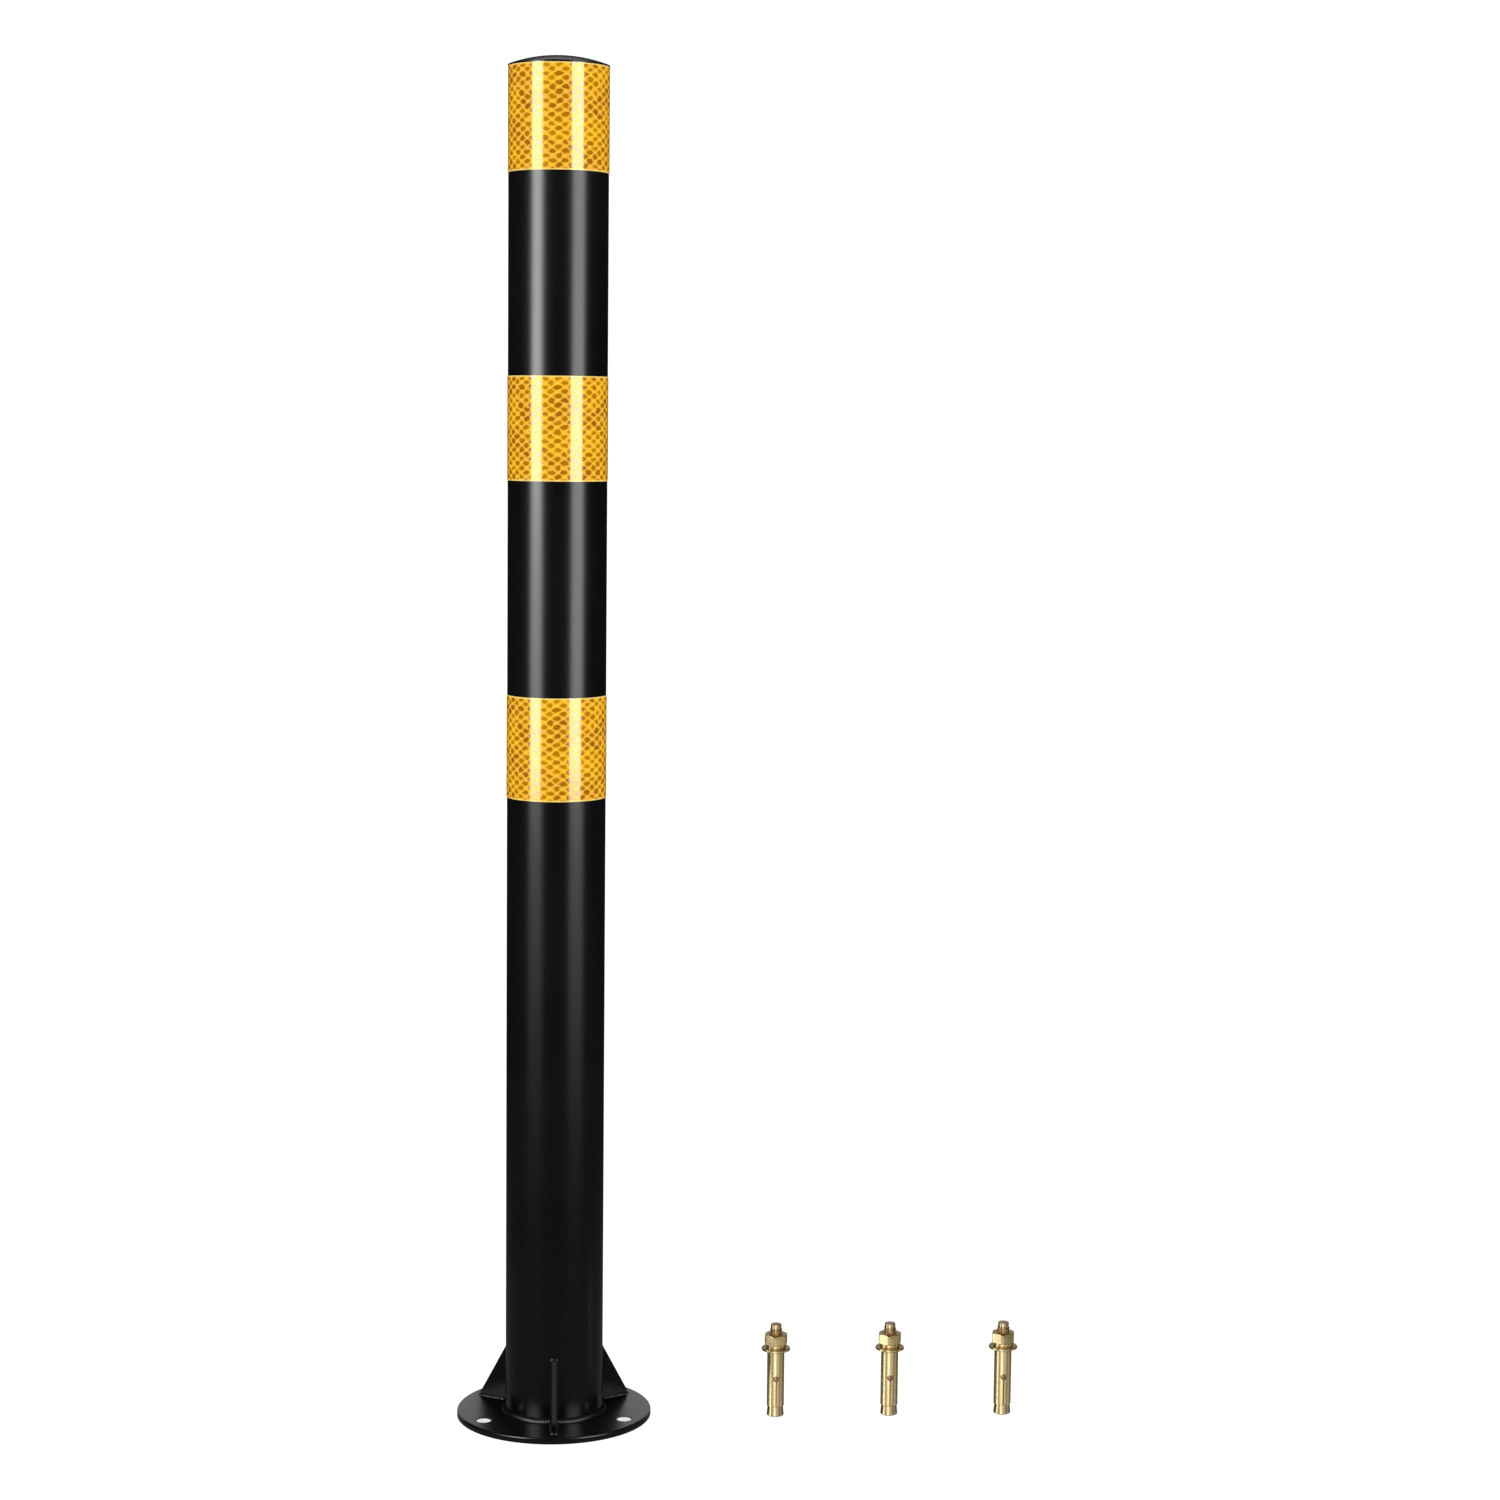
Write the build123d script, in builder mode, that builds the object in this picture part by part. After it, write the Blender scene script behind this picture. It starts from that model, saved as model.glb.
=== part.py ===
"""Surface-mounted steel safety bollard with three loose expansion sleeve anchors.

Origin: centre of the base plate's underside, on the ground. +Z is up and -Y is the front.
All sizes are in millimetres.
"""

import os
from math import cos, radians, sin, tan

from build123d import *

os.makedirs("parts", exist_ok=True)

# ---------------------------------------------------------------- post
tube_diameter = 76.0
tube_wall = 2.0
tube_top = 1042.0  # the tube's top end above the ground

# ---------------------------------------------------------------- top cap
cap_overhang = 0.6  # the cap's lip beyond the tube's surface
cap_lip = 1.2  # height of the lip's straight edge
cap_lip_round = 0.8
cap_rise = 7.0  # the dome's crown above the lip
cap_sheet = 1.5
cap_skirt_depth = 14.0
cap_fit = 0.15  # radial clearance of the skirt inside the tube

# ---------------------------------------------------------------- base plate
plate_thickness = 5.0
plate_edge_round = 1.6
plate_margin = 10.0  # plate beyond the gussets' toes
hole_setback = 25.0  # from the tube's surface to a hole's centre
hole_allowance = 0.5  # radial, of a plate hole over the anchor's stud
hole_count = 3
back_hole_angle = 90.0

# ---------------------------------------------------------------- gussets and welds
gusset_angles = {"front": -90.0, "right": 30.0, "left": 150.0}
gusset_thickness = 4.5
gusset_height = 49.0  # above the plate
gusset_reach = 28.0  # from the tube's surface to the toe
gusset_toe = 3.5  # height of the toe's upright edge
gusset_tip = 2.0  # width of the flat at the top
gusset_snipe = 5.0  # corner cut clear of the foot weld
foot_weld_leg = 3.0
foot_weld_bulge = 0.35  # how far the ring's face stands out of a straight fillet
gusset_weld_leg = 2.4
weld_gap = 0.05  # between a bead and the steel that it joins

# ---------------------------------------------------------------- reflective tape
tape_thickness = 0.35
tape_gap = 0.05  # adhesive layer
tape_height = 79.0
upper_band_gap = 152.0  # bare tube between the top and the middle band
lower_band_gap = 163.5  # bare tube between the middle and the lower band

# ---------------------------------------------------------------- expansion anchors
anchor_count = 3
anchor_clear = 98.0  # from the plate's edge to the first anchor's axis
anchor_pitch = 90.0
anchor_row_y = -10.0
stud_diameter = 10.0
stud_above_nut = 4.2  # full thread that shows above the nut
tip_step = 0.8  # radial, from the stud down to its plain tip
tip_length = 3.6
tip_chamfer = 0.6
cone_length = 19.5
cone_foot_round = 0.9
cone_showing = 7.8  # cone below the sleeve's mouth
sleeve_wall = 1.65
sleeve_length = 45.0
sleeve_hole_diameter = 4.5
sleeve_hole_height = 22.9  # above the sleeve's mouth
sleeve_slot_width = 0.5
sleeve_slot_angles = (-90.0, 30.0, 150.0)
flat_washer_width = 5.95  # radial, from bore to rim
flat_washer_thickness = 2.0
spring_washer_width = 2.7
spring_washer_thickness = 2.6
spring_washer_split = 0.9
spring_washer_split_angle = -55.0
nut_across_flats = 17.0
nut_height = 8.4
nut_corner_angle = -99.8  # direction that one corner points in
nut_chamfer_angle = 30.0
running_clearance = 0.1  # radial: sleeve and nut on the stud, sleeve on the cone
washer_clearance = 0.3  # radial: washers on the stud

# ---------------------------------------------------------------- sizes that follow
tube_radius = tube_diameter / 2
tube_bore = tube_radius - tube_wall
gusset_root = tube_radius + weld_gap
toe_radius = tube_radius + gusset_reach
plate_radius = toe_radius + plate_margin
hole_circle_radius = tube_radius + hole_setback
gusset_top = plate_thickness + gusset_height
stud_radius = stud_diameter / 2
hole_radius = stud_radius + hole_allowance
tip_radius = stud_radius - tip_step
sleeve_bore = stud_radius + running_clearance
sleeve_radius = sleeve_bore + sleeve_wall
cone_radius = sleeve_radius
washer_bore = stud_radius + washer_clearance
flat_washer_radius = washer_bore + flat_washer_width
spring_washer_radius = washer_bore + spring_washer_width
sleeve_top = cone_showing + sleeve_length
spring_washer_foot = sleeve_top + flat_washer_thickness
nut_foot = spring_washer_foot + spring_washer_thickness
nut_top = nut_foot + nut_height
stud_top = nut_top + stud_above_nut


def finish(builder, name):
    """Label a finished piece and write it as its own file."""
    builder.part.label = name
    export_step(builder.part, f"parts/{name}.step")


def direction(angle):
    """Level unit vector at an angle from +X."""
    return (cos(radians(angle)), sin(radians(angle)), 0.0)


def upright_plane(angle, origin=(0.0, 0.0, 0.0)):
    """Upright plane through the origin: its x runs out at the angle, its y runs up."""
    out = direction(angle)
    return Plane(origin=origin, x_dir=out, z_dir=(out[1], -out[0], 0.0))


def facing_plane(angle, origin=(0.0, 0.0, 0.0)):
    """Upright plane that faces out at the angle: its x runs sideways, its y runs up."""
    out = direction(angle)
    return Plane(origin=origin, x_dir=(-out[1], out[0], 0.0), z_dir=out)


# ================================================================ post and cap
with BuildPart() as post_tube:
    with BuildSketch(Plane.XY.offset(plate_thickness)):
        Circle(tube_radius)
        Circle(tube_bore, mode=Mode.SUBTRACT)
    extrude(amount=tube_top - plate_thickness)
finish(post_tube, "post_tube")

cap_radius = tube_radius + cap_overhang
cap_shoulder = tube_top + cap_lip
cap_crown = cap_shoulder + cap_rise
skirt_radius = tube_bore - cap_fit
# radius of the sphere whose cap is cap_rise high over the lip's circle
dome_radius = (cap_radius**2 + cap_rise**2) / (2 * cap_rise)
dome_centre = cap_crown - dome_radius
inner_dome = dome_radius - cap_sheet

with BuildPart() as top_cap:
    with BuildSketch(Plane.XZ):
        with BuildLine():
            Line((0, cap_crown), (0, tube_top))
            Line((0, tube_top), (cap_radius, tube_top))
            Line((cap_radius, tube_top), (cap_radius, cap_shoulder))
            RadiusArc((cap_radius, cap_shoulder), (0, cap_crown), -dome_radius)
        make_face()
    revolve(axis=Axis.Z)
    with BuildSketch(Plane.XY.offset(tube_top)):
        Circle(skirt_radius)
    extrude(amount=-cap_skirt_depth)
    shoulder_level = (cap_shoulder - cap_lip / 2, cap_shoulder + cap_lip / 2)
    fillet(top_cap.edges().filter_by_position(Axis.Z, *shoulder_level), radius=cap_lip_round)
    # hollow it from below: a straight bore that ends in a dome one sheet under the crown
    with BuildSketch(Plane.XY.offset(tube_top - cap_skirt_depth)):
        Circle(skirt_radius - cap_sheet)
    hollow = extrude(amount=cap_skirt_depth + cap_lip + cap_rise, mode=Mode.PRIVATE)
    with Locations((0, 0, dome_centre)):
        under_dome = Sphere(inner_dome, mode=Mode.PRIVATE)
    add(hollow & under_dome, mode=Mode.SUBTRACT)
finish(top_cap, "top_cap")

# ================================================================ base plate
with BuildPart() as base_plate:
    with BuildSketch():
        Circle(plate_radius)
    extrude(amount=plate_thickness)
    fillet(base_plate.edges().sort_by(Axis.Z)[-1], radius=plate_edge_round)
    with PolarLocations(hole_circle_radius, hole_count, start_angle=back_hole_angle):
        Hole(hole_radius)
finish(base_plate, "base_plate")

with BuildPart() as foot_weld:
    with BuildSketch(Plane.XZ):
        ring_foot = (tube_radius + foot_weld_leg, plate_thickness)
        ring_head = (gusset_root, plate_thickness + foot_weld_leg)
        ring_face = (
            (ring_foot[0] + ring_head[0]) / 2 + foot_weld_bulge,
            (ring_foot[1] + ring_head[1]) / 2 + foot_weld_bulge,
        )
        with BuildLine():
            Line(ring_head, (gusset_root, plate_thickness))
            Line((gusset_root, plate_thickness), ring_foot)
            ThreePointArc(ring_foot, ring_face, ring_head)
        make_face()
    revolve(axis=Axis.Z)
finish(foot_weld, "tube_foot_weld")

# ================================================================ gussets and their beads
for side, angle in gusset_angles.items():
    with BuildPart() as gusset:
        with BuildSketch(upright_plane(angle)):
            with BuildLine():
                Polyline(
                    (gusset_root, plate_thickness + gusset_snipe),
                    (gusset_root, gusset_top),
                    (gusset_root + gusset_tip, gusset_top),
                    (toe_radius, plate_thickness + gusset_toe),
                    (toe_radius, plate_thickness),
                    (gusset_root + gusset_snipe, plate_thickness),
                    close=True,
                )
            make_face()
        extrude(amount=gusset_thickness / 2, both=True)
    finish(gusset, f"{side}_gusset")

    bead_width = gusset_thickness + 2 * gusset_weld_leg
    bead_start = gusset_root + gusset_snipe
    bead_end = toe_radius + gusset_weld_leg
    # the upright bead starts inside the tube's surface, which falls away beside the gusset
    bead_root = gusset_weld_leg
    root_width = bead_width + 2 * bead_root
    upright_foot = plate_thickness + gusset_snipe - bead_root
    upright_head = gusset_top + gusset_weld_leg + bead_root
    with BuildPart() as gusset_weld:
        # along both sides of the gusset's foot and round its toe
        with BuildSketch(Plane(origin=(0, 0, plate_thickness), x_dir=direction(angle), z_dir=(0, 0, 1))):
            with Locations(((bead_start + bead_end) / 2, 0)):
                Rectangle(bead_end - bead_start, bead_width)
        extrude(amount=gusset_weld_leg, taper=45)
        # up both sides against the tube and over the gusset's tip
        with BuildSketch(facing_plane(angle).offset(gusset_root - bead_root)):
            with Locations((0, (upright_foot + upright_head) / 2)):
                Rectangle(root_width, upright_head - upright_foot)
        extrude(amount=bead_root + gusset_weld_leg, taper=45)
        # cleared of the gusset and of the tube
        with BuildSketch(upright_plane(angle)):
            with Locations((toe_radius + weld_gap, 0)):
                Rectangle(toe_radius, gusset_top + weld_gap, align=(Align.MAX, Align.MIN))
        extrude(amount=gusset_thickness / 2 + weld_gap, both=True, mode=Mode.SUBTRACT)
        with BuildSketch():
            Circle(gusset_root)
        extrude(amount=gusset_top + 4 * gusset_weld_leg, mode=Mode.SUBTRACT)
    finish(gusset_weld, f"{side}_gusset_weld")

# ================================================================ reflective bands
top_band_foot = tube_top - tape_height
middle_band_foot = top_band_foot - upper_band_gap - tape_height
lower_band_foot = middle_band_foot - lower_band_gap - tape_height
band_feet = {"top": top_band_foot, "middle": middle_band_foot, "lower": lower_band_foot}
for place, foot in band_feet.items():
    with BuildPart() as band:
        with BuildSketch(Plane.XY.offset(foot)):
            Circle(tube_radius + tape_gap + tape_thickness)
            Circle(tube_radius + tape_gap, mode=Mode.SUBTRACT)
        extrude(amount=tape_height)
    finish(band, f"{place}_reflective_band")

# ================================================================ expansion anchors
# the cone's radius where the sleeve's mouth sits on it
mouth_cone_radius = cone_radius - (cone_radius - stud_radius) * cone_showing / cone_length
nut_flat_radius = nut_across_flats / 2
nut_corner_radius = nut_flat_radius / cos(radians(30))
nut_chamfer = (nut_corner_radius - nut_flat_radius) * tan(radians(nut_chamfer_angle))

for number in range(1, anchor_count + 1):
    anchor_x = plate_radius + anchor_clear + (number - 1) * anchor_pitch
    anchor_foot = (anchor_x, anchor_row_y, 0.0)
    anchor_axis = Axis(anchor_foot, (0, 0, 1))
    name = f"anchor_{number}"

    with BuildPart() as stud:
        with BuildSketch(upright_plane(0, anchor_foot)):
            with BuildLine():
                Polyline(
                    (cone_radius, cone_foot_round),
                    (stud_radius, cone_length),
                    (stud_radius, stud_top - tip_chamfer),
                    (tip_radius, stud_top),
                    (tip_radius, stud_top + tip_length - tip_chamfer),
                    (tip_radius - tip_chamfer, stud_top + tip_length),
                    (0, stud_top + tip_length),
                    (0, 0),
                    (cone_radius - cone_foot_round, 0),
                )
                cone_corner = (cone_radius - cone_foot_round, 0)
                RadiusArc(cone_corner, (cone_radius, cone_foot_round), -cone_foot_round)
            make_face()
        revolve(axis=anchor_axis)
    finish(stud, f"{name}_stud")

    with BuildPart() as sleeve:
        with BuildSketch(upright_plane(0, anchor_foot)):
            with BuildLine():
                Polyline(
                    (mouth_cone_radius + running_clearance, cone_showing),
                    (sleeve_bore, cone_length),
                    (sleeve_bore, sleeve_top),
                    (sleeve_radius, sleeve_top),
                    (sleeve_radius, cone_showing),
                    close=True,
                )
            make_face()
        revolve(axis=anchor_axis)
        for slot_angle in sleeve_slot_angles:
            with BuildSketch(facing_plane(slot_angle, anchor_foot)):
                with Locations((0, cone_showing + sleeve_hole_height)):
                    Circle(sleeve_hole_diameter / 2)
                with Locations((0, cone_showing - 1)):
                    Rectangle(sleeve_slot_width, sleeve_hole_height + 1, align=(Align.CENTER, Align.MIN))
            extrude(amount=2 * sleeve_radius, mode=Mode.SUBTRACT)
    finish(sleeve, f"{name}_sleeve")

    with BuildPart() as flat_washer:
        with BuildSketch(Plane(anchor_foot).offset(sleeve_top)):
            Circle(flat_washer_radius)
            Circle(washer_bore, mode=Mode.SUBTRACT)
        extrude(amount=flat_washer_thickness)
    finish(flat_washer, f"{name}_flat_washer")

    with BuildPart() as spring_washer:
        with BuildSketch(Plane(anchor_foot).offset(spring_washer_foot)):
            Circle(spring_washer_radius)
            Circle(washer_bore, mode=Mode.SUBTRACT)
        extrude(amount=spring_washer_thickness)
        # the split runs up at 45 degrees through the ring
        with BuildSketch(facing_plane(spring_washer_split_angle, anchor_foot)):
            with BuildLine():
                Polyline(
                    (0, spring_washer_foot),
                    (spring_washer_split, spring_washer_foot),
                    (spring_washer_split + spring_washer_thickness, nut_foot),
                    (spring_washer_thickness, nut_foot),
                    close=True,
                )
            make_face()
        extrude(amount=2 * spring_washer_radius, mode=Mode.SUBTRACT)
    finish(spring_washer, f"{name}_spring_washer")

    with BuildPart() as nut:
        with BuildSketch(Plane(anchor_foot).offset(nut_foot)):
            RegularPolygon(nut_flat_radius, 6, major_radius=False, rotation=nut_corner_angle)
            Circle(sleeve_bore, mode=Mode.SUBTRACT)
        extrude(amount=nut_height)
        # the corners are turned off at both ends
        with BuildSketch(upright_plane(0, anchor_foot)):
            with BuildLine():
                Polyline(
                    (0, nut_foot),
                    (nut_flat_radius, nut_foot),
                    (nut_corner_radius, nut_foot + nut_chamfer),
                    (nut_corner_radius, nut_top - nut_chamfer),
                    (nut_flat_radius, nut_top),
                    (0, nut_top),
                    close=True,
                )
            make_face()
        revolve(axis=anchor_axis, mode=Mode.INTERSECT)
    finish(nut, f"{name}_hex_nut")
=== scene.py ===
"""Looks for a steel safety bollard and the three loose expansion sleeve anchors that stand beside it.

Each piece stands for one CAD node and is a surface worked out with numpy. Lengths are in metres and the piece's own
map is in millimetres. Turns run from +X towards +Y, so the front faces -Y.
"""

from math import cos, pi, radians, sin, tan

import bmesh
import bpy
import numpy as np
from mathutils import Matrix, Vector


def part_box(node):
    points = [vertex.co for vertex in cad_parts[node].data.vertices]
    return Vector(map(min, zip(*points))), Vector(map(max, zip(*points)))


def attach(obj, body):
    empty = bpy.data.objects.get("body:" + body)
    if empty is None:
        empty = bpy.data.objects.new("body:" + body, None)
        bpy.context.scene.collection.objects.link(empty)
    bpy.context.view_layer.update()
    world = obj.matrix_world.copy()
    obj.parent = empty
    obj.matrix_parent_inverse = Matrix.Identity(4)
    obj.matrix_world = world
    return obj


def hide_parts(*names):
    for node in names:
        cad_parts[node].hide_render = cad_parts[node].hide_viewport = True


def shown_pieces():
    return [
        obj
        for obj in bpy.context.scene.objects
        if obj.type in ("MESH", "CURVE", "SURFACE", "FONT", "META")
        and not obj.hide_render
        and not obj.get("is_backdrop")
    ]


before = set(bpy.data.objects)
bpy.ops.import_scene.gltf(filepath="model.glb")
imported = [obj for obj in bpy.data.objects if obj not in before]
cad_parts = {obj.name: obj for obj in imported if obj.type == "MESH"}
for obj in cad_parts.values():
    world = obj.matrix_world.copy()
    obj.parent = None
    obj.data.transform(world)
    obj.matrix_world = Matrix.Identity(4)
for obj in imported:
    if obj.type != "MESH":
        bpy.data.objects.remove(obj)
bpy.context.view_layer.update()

MM = 0.001
FRONT, BACK = -pi / 2, pi / 2


# ---------------------------------------------------------------- sizes, from the CAD boxes where they show them
def box_of(node):
    """A node's lowest and highest corners as arrays."""
    low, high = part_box(node)
    return np.array(low), np.array(high)


tube_low, tube_high = box_of("post_tube")
cap_low, cap_high = box_of("top_cap")
_, plate_high = box_of("base_plate")
_, weld_high = box_of("tube_foot_weld")

tube_radius = tube_high[0]
tube_wall = 2.0 * MM
tube_top = tube_high[2]
plate_radius = plate_high[1]
plate_top = plate_high[2]
weld_gap = 0.05 * MM
hole_setback = 25.0 * MM  # from the tube's surface to a hole's centre
hole_circle = tube_radius + hole_setback
hole_radius = 5.5 * MM
hole_turns = (BACK, BACK + 2 * pi / 3, BACK + 4 * pi / 3)
gusset_turns = {"front": FRONT, "right": radians(30), "left": radians(150)}
gusset_root = tube_radius + weld_gap

stud_radius = 5.0 * MM
cone_height = 19.5 * MM
thread_foot = 45.0 * MM  # the plain stem ends here
thread_pitch = 1.5 * MM
running_bore = 5.1 * MM  # of the sleeve and the nut, on the stud
washer_bore = 5.3 * MM

JOINING = 1.5e-6  # points nearer than this are one


# ---------------------------------------------------------------- surfaces
class Shell:
    """A piece's skin, gathered from grids of points, each with its map in millimetres."""

    def __init__(self):
        self.points, self.quads, self.maps, self.count = [], [], [], 0

    def grid(self, points, across=None, along=None):
        """Adds rows x columns of points: the face at (i, j) joins it to (i, j+1), (i+1, j+1) and (i+1, j)."""
        rows, columns = points.shape[:2]
        index = self.count + np.arange(rows * columns).reshape(rows, columns)
        corners = (index[:-1, :-1], index[:-1, 1:], index[1:, 1:], index[1:, :-1])
        self.quads.append(np.stack(corners, -1).reshape(-1, 4))
        across = points[..., 0] if across is None else across
        along = points[..., 1] if along is None else along
        flat = np.broadcast_to(across, (rows, columns)), np.broadcast_to(along, (rows, columns))
        self.maps.append(np.stack(flat, -1).reshape(-1, 2) / MM)
        self.points.append(points.reshape(-1, 3))
        self.count += rows * columns
        return self

    def piece(self, name, node, body, slot, finish, crease=32.0, bevel=0.0):
        """Closes seams and poles, turns the faces outwards and puts the piece in its node's place."""
        points, quads = np.concatenate(self.points), np.concatenate(self.quads)
        mesh = bpy.data.meshes.new(name)
        mesh.from_pydata(points, [], quads)
        layer = mesh.uv_layers.new(name="Millimetres")
        layer.uv.foreach_set("vector", np.concatenate(self.maps)[quads.ravel()].astype(np.float32).ravel())
        work = bmesh.new()
        work.from_mesh(mesh)
        bmesh.ops.remove_doubles(work, verts=work.verts, dist=JOINING)
        bmesh.ops.recalc_face_normals(work, faces=work.faces)
        work.to_mesh(mesh)
        work.free()
        mesh.shade_smooth()
        mesh.set_sharp_from_angle(angle=radians(crease))
        mesh.materials.append(finish)
        made = bpy.data.objects.new(name, mesh)
        bpy.context.scene.collection.objects.link(made)
        if bevel:
            edge = made.modifiers.new("edge", "BEVEL")
            edge.width, edge.segments, edge.limit_method = bevel, 3, "ANGLE"
            edge.angle_limit, edge.harden_normals = radians(crease), True
        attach(made, body)
        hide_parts(node)
        return made


def around(radius, height, turn, centre=(0.0, 0.0)):
    """Points about an upright axis: centre + (radius cos turn, radius sin turn, height)."""
    x, y, z = np.broadcast_arrays(
        centre[0] + radius * np.cos(turn), centre[1] + radius * np.sin(turn), height
    )
    return np.stack([x, y, z], -1)


def walked(outline):
    """Length walked along an outline to each of its points."""
    return np.concatenate([[0.0], np.cumsum(np.linalg.norm(np.diff(outline, axis=0), axis=1))])


def rounded(corners, steps=4):
    """Outline through (r, z, radius) corners, each an arc of its radius. An arc point is the two end spokes weighed by
    sin((1-t)w)/sin w and sin(tw)/sin w, w being the arc's angle. A point just past each arc keeps the flats flat."""
    spots = np.array(corners, float)
    out = [spots[0, :2]]
    t = np.linspace(0, 1, steps + 1)[:, None]
    for before, (r, z, radius), after in zip(spots[:-2], spots[1:-1], spots[2:]):
        corner = np.array([r, z])
        if radius == 0:
            out.append(corner)
            continue
        a, b = before[:2] - corner, after[:2] - corner
        a, b = a / np.linalg.norm(a), b / np.linalg.norm(b)
        half = np.arccos(a @ b) / 2
        reach, sweep = radius / np.tan(half), np.pi - 2 * half
        middle = corner + (a + b) / np.linalg.norm(a + b) * radius / np.sin(half)
        start, end = corner + a * reach - middle, corner + b * reach - middle
        arc = middle + (np.sin((1 - t) * sweep) * start + np.sin(t * sweep) * end) / np.sin(sweep)
        out += [corner + a * (reach + radius / 6), *arc, corner + b * (reach + radius / 6)]
    out.append(spots[-1, :2])
    return np.array(out)


def turned(outline, columns=128, centre=(0.0, 0.0)):
    """Lathe skin: row i is the outline's (r, z) and column j a turn, starting at the back. The map is the arc length at
    the widest radius across, and the length walked along the outline."""
    turn = np.linspace(BACK, BACK + 2 * pi, columns + 1)
    points = around(outline[:, :1], outline[:, 1:], turn, centre)
    return Shell().grid(points, turn * outline[:, 0].max(), walked(outline)[:, None])


def slab(corners, thickness, edge, place, steps=8):
    """Flat bar cut to an outline of (a, b) corners: rows are copies of the outline, set in by e(1 - sin w) at the depth
    half - e(1 - cos w) to round both rims, and closed on each face to the outline's mean point."""
    spots = np.array(corners, float)
    edges = np.roll(spots, -1, 0) - spots
    edges /= np.linalg.norm(edges, axis=1)[:, None]
    inward = np.stack([-edges[:, 1], edges[:, 0]], 1)
    before = np.roll(inward, 1, 0)
    mitre = (before + inward) / (1 + (before * inward).sum(1))[:, None]
    half, w = thickness / 2, np.linspace(0, pi / 2, 4)
    inset = np.concatenate([[1.3 * edge], edge * (1 - np.sin(w))])
    depth = np.concatenate([[half], half - edge * (1 - np.cos(w))])
    inset, depth = np.concatenate([inset, inset[::-1]]), np.concatenate([depth, -depth[::-1]])
    moved = spots + inset[:, None, None] * mitre
    t = (np.arange(steps) / steps)[:, None]
    rows = moved[:, :, None] * (1 - t) + np.roll(moved, -1, 1)[:, :, None] * t
    rows = rows.reshape(len(inset), -1, 2)
    rows = np.concatenate([rows, rows[:, :1]], 1)
    middle = np.broadcast_to(rows[0].mean(0), (1, *rows.shape[1:]))
    rows = np.concatenate([middle, rows, middle])
    depth = np.concatenate([[half], depth, [-half]])[:, None]
    return Shell().grid(place(rows[..., 0], depth, rows[..., 1]), rows[..., 0], rows[..., 1])


def upright(turn, lift=0.0):
    """Turns (out, sideways, up) into a point, with out running at the given turn."""

    def place(out, side, up):
        x, y, z = np.broadcast_arrays(
            out * cos(turn) - side * sin(turn), out * sin(turn) + side * cos(turn), up + lift
        )
        return np.stack([x, y, z], -1)

    return place


def hairpin(half_width, start, end, steps=44):
    """Track up one side of a bar's edge, round its end and back: places (a, b), their outward normals and the length
    walked to each."""
    w = np.linspace(0, pi, 17)
    up = np.linspace(start, end, steps)
    a = np.concatenate([np.full(steps, half_width), half_width * np.cos(w), np.full(steps, -half_width)])
    b = np.concatenate([up, end + 0.35 * half_width * np.sin(w), up[::-1]])
    normal = np.concatenate(
        [np.tile([1.0, 0.0], (steps, 1)), np.stack([np.cos(w), np.sin(w)], 1), np.tile([-1.0, 0.0], (steps, 1))]
    )
    spots = np.stack([a, b], 1)
    keep = np.concatenate([[True], np.linalg.norm(np.diff(spots, axis=0), axis=1) > 1e-9])
    return spots[keep], normal[keep], walked(spots[keep])


def fillet_bead(shell, track, leg, place, ripple=0.09 * MM, pitch=2.1 * MM):
    """Weld bead in the corner beside a track. Its face is the superellipse x^1.35 + y^1.35 = 1 on both legs, with
    crescent ripples of cos(length / pitch - bulge), and both ends fade as a quarter circle does."""
    spots, normal, run = track
    v = np.linspace(0, pi / 2, 9)
    off, high = np.cos(v) ** 1.48, np.sin(v) ** 1.48
    fade = np.clip(np.minimum(run, run[-1] - run) / (1.3 * leg), 0, 1)[:, None]
    size = leg * np.sqrt(1 - (1 - fade) ** 2) * (1 + 0.07 * np.sin(run / (3.7 * pitch) * 2 * pi))[:, None]
    wave = ripple * np.cos(2 * pi * run[:, None] / pitch - 2.2 * np.sin(2 * v)) * np.sin(2 * v) * fade
    off, high = off * size + 0.7 * wave, high * size + 0.7 * wave
    none = np.zeros_like(run)[:, None]
    off, high = np.hstack([off, none, off[:, :1]]), np.hstack([high, none, high[:, :1]])
    a = spots[:, :1] + normal[:, :1] * off
    b = spots[:, 1:] + normal[:, 1:] * off
    shell.grid(place(a, b, high), run[:, None], off)
    return shell


# ---------------------------------------------------------------- shader building
def operator(operation, swapped=False):
    """A Python operator that adds a Math node."""

    def act(self, other=0.0):
        first, second = (other, self) if swapped else (self, other)
        return self.recipe.node("ShaderNodeMath", {"operation": operation}, {0: first, 1: second})

    return act


class Field:
    """A value that varies over a surface. Arithmetic on it adds Math nodes."""

    def __init__(self, recipe, socket):
        self.recipe, self.socket = recipe, socket

    __add__ = __radd__ = operator("ADD")
    __sub__, __rsub__ = operator("SUBTRACT"), operator("SUBTRACT", True)
    __mul__ = __rmul__ = operator("MULTIPLY")
    __truediv__, __rtruediv__ = operator("DIVIDE"), operator("DIVIDE", True)
    __pow__ = operator("POWER")
    __abs__ = operator("ABSOLUTE")
    fraction, whole = operator("FRACT"), operator("FLOOR")
    smaller = operator("MINIMUM")

    def ease(self, low, high):
        """0 below low, 1 above high, and a smooth step between; falls instead if low is the larger."""
        inlets = {"Value": self, "From Min": low, "From Max": high}
        return self.recipe.node("ShaderNodeMapRange", {"interpolation_type": "SMOOTHSTEP"}, inlets)


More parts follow.
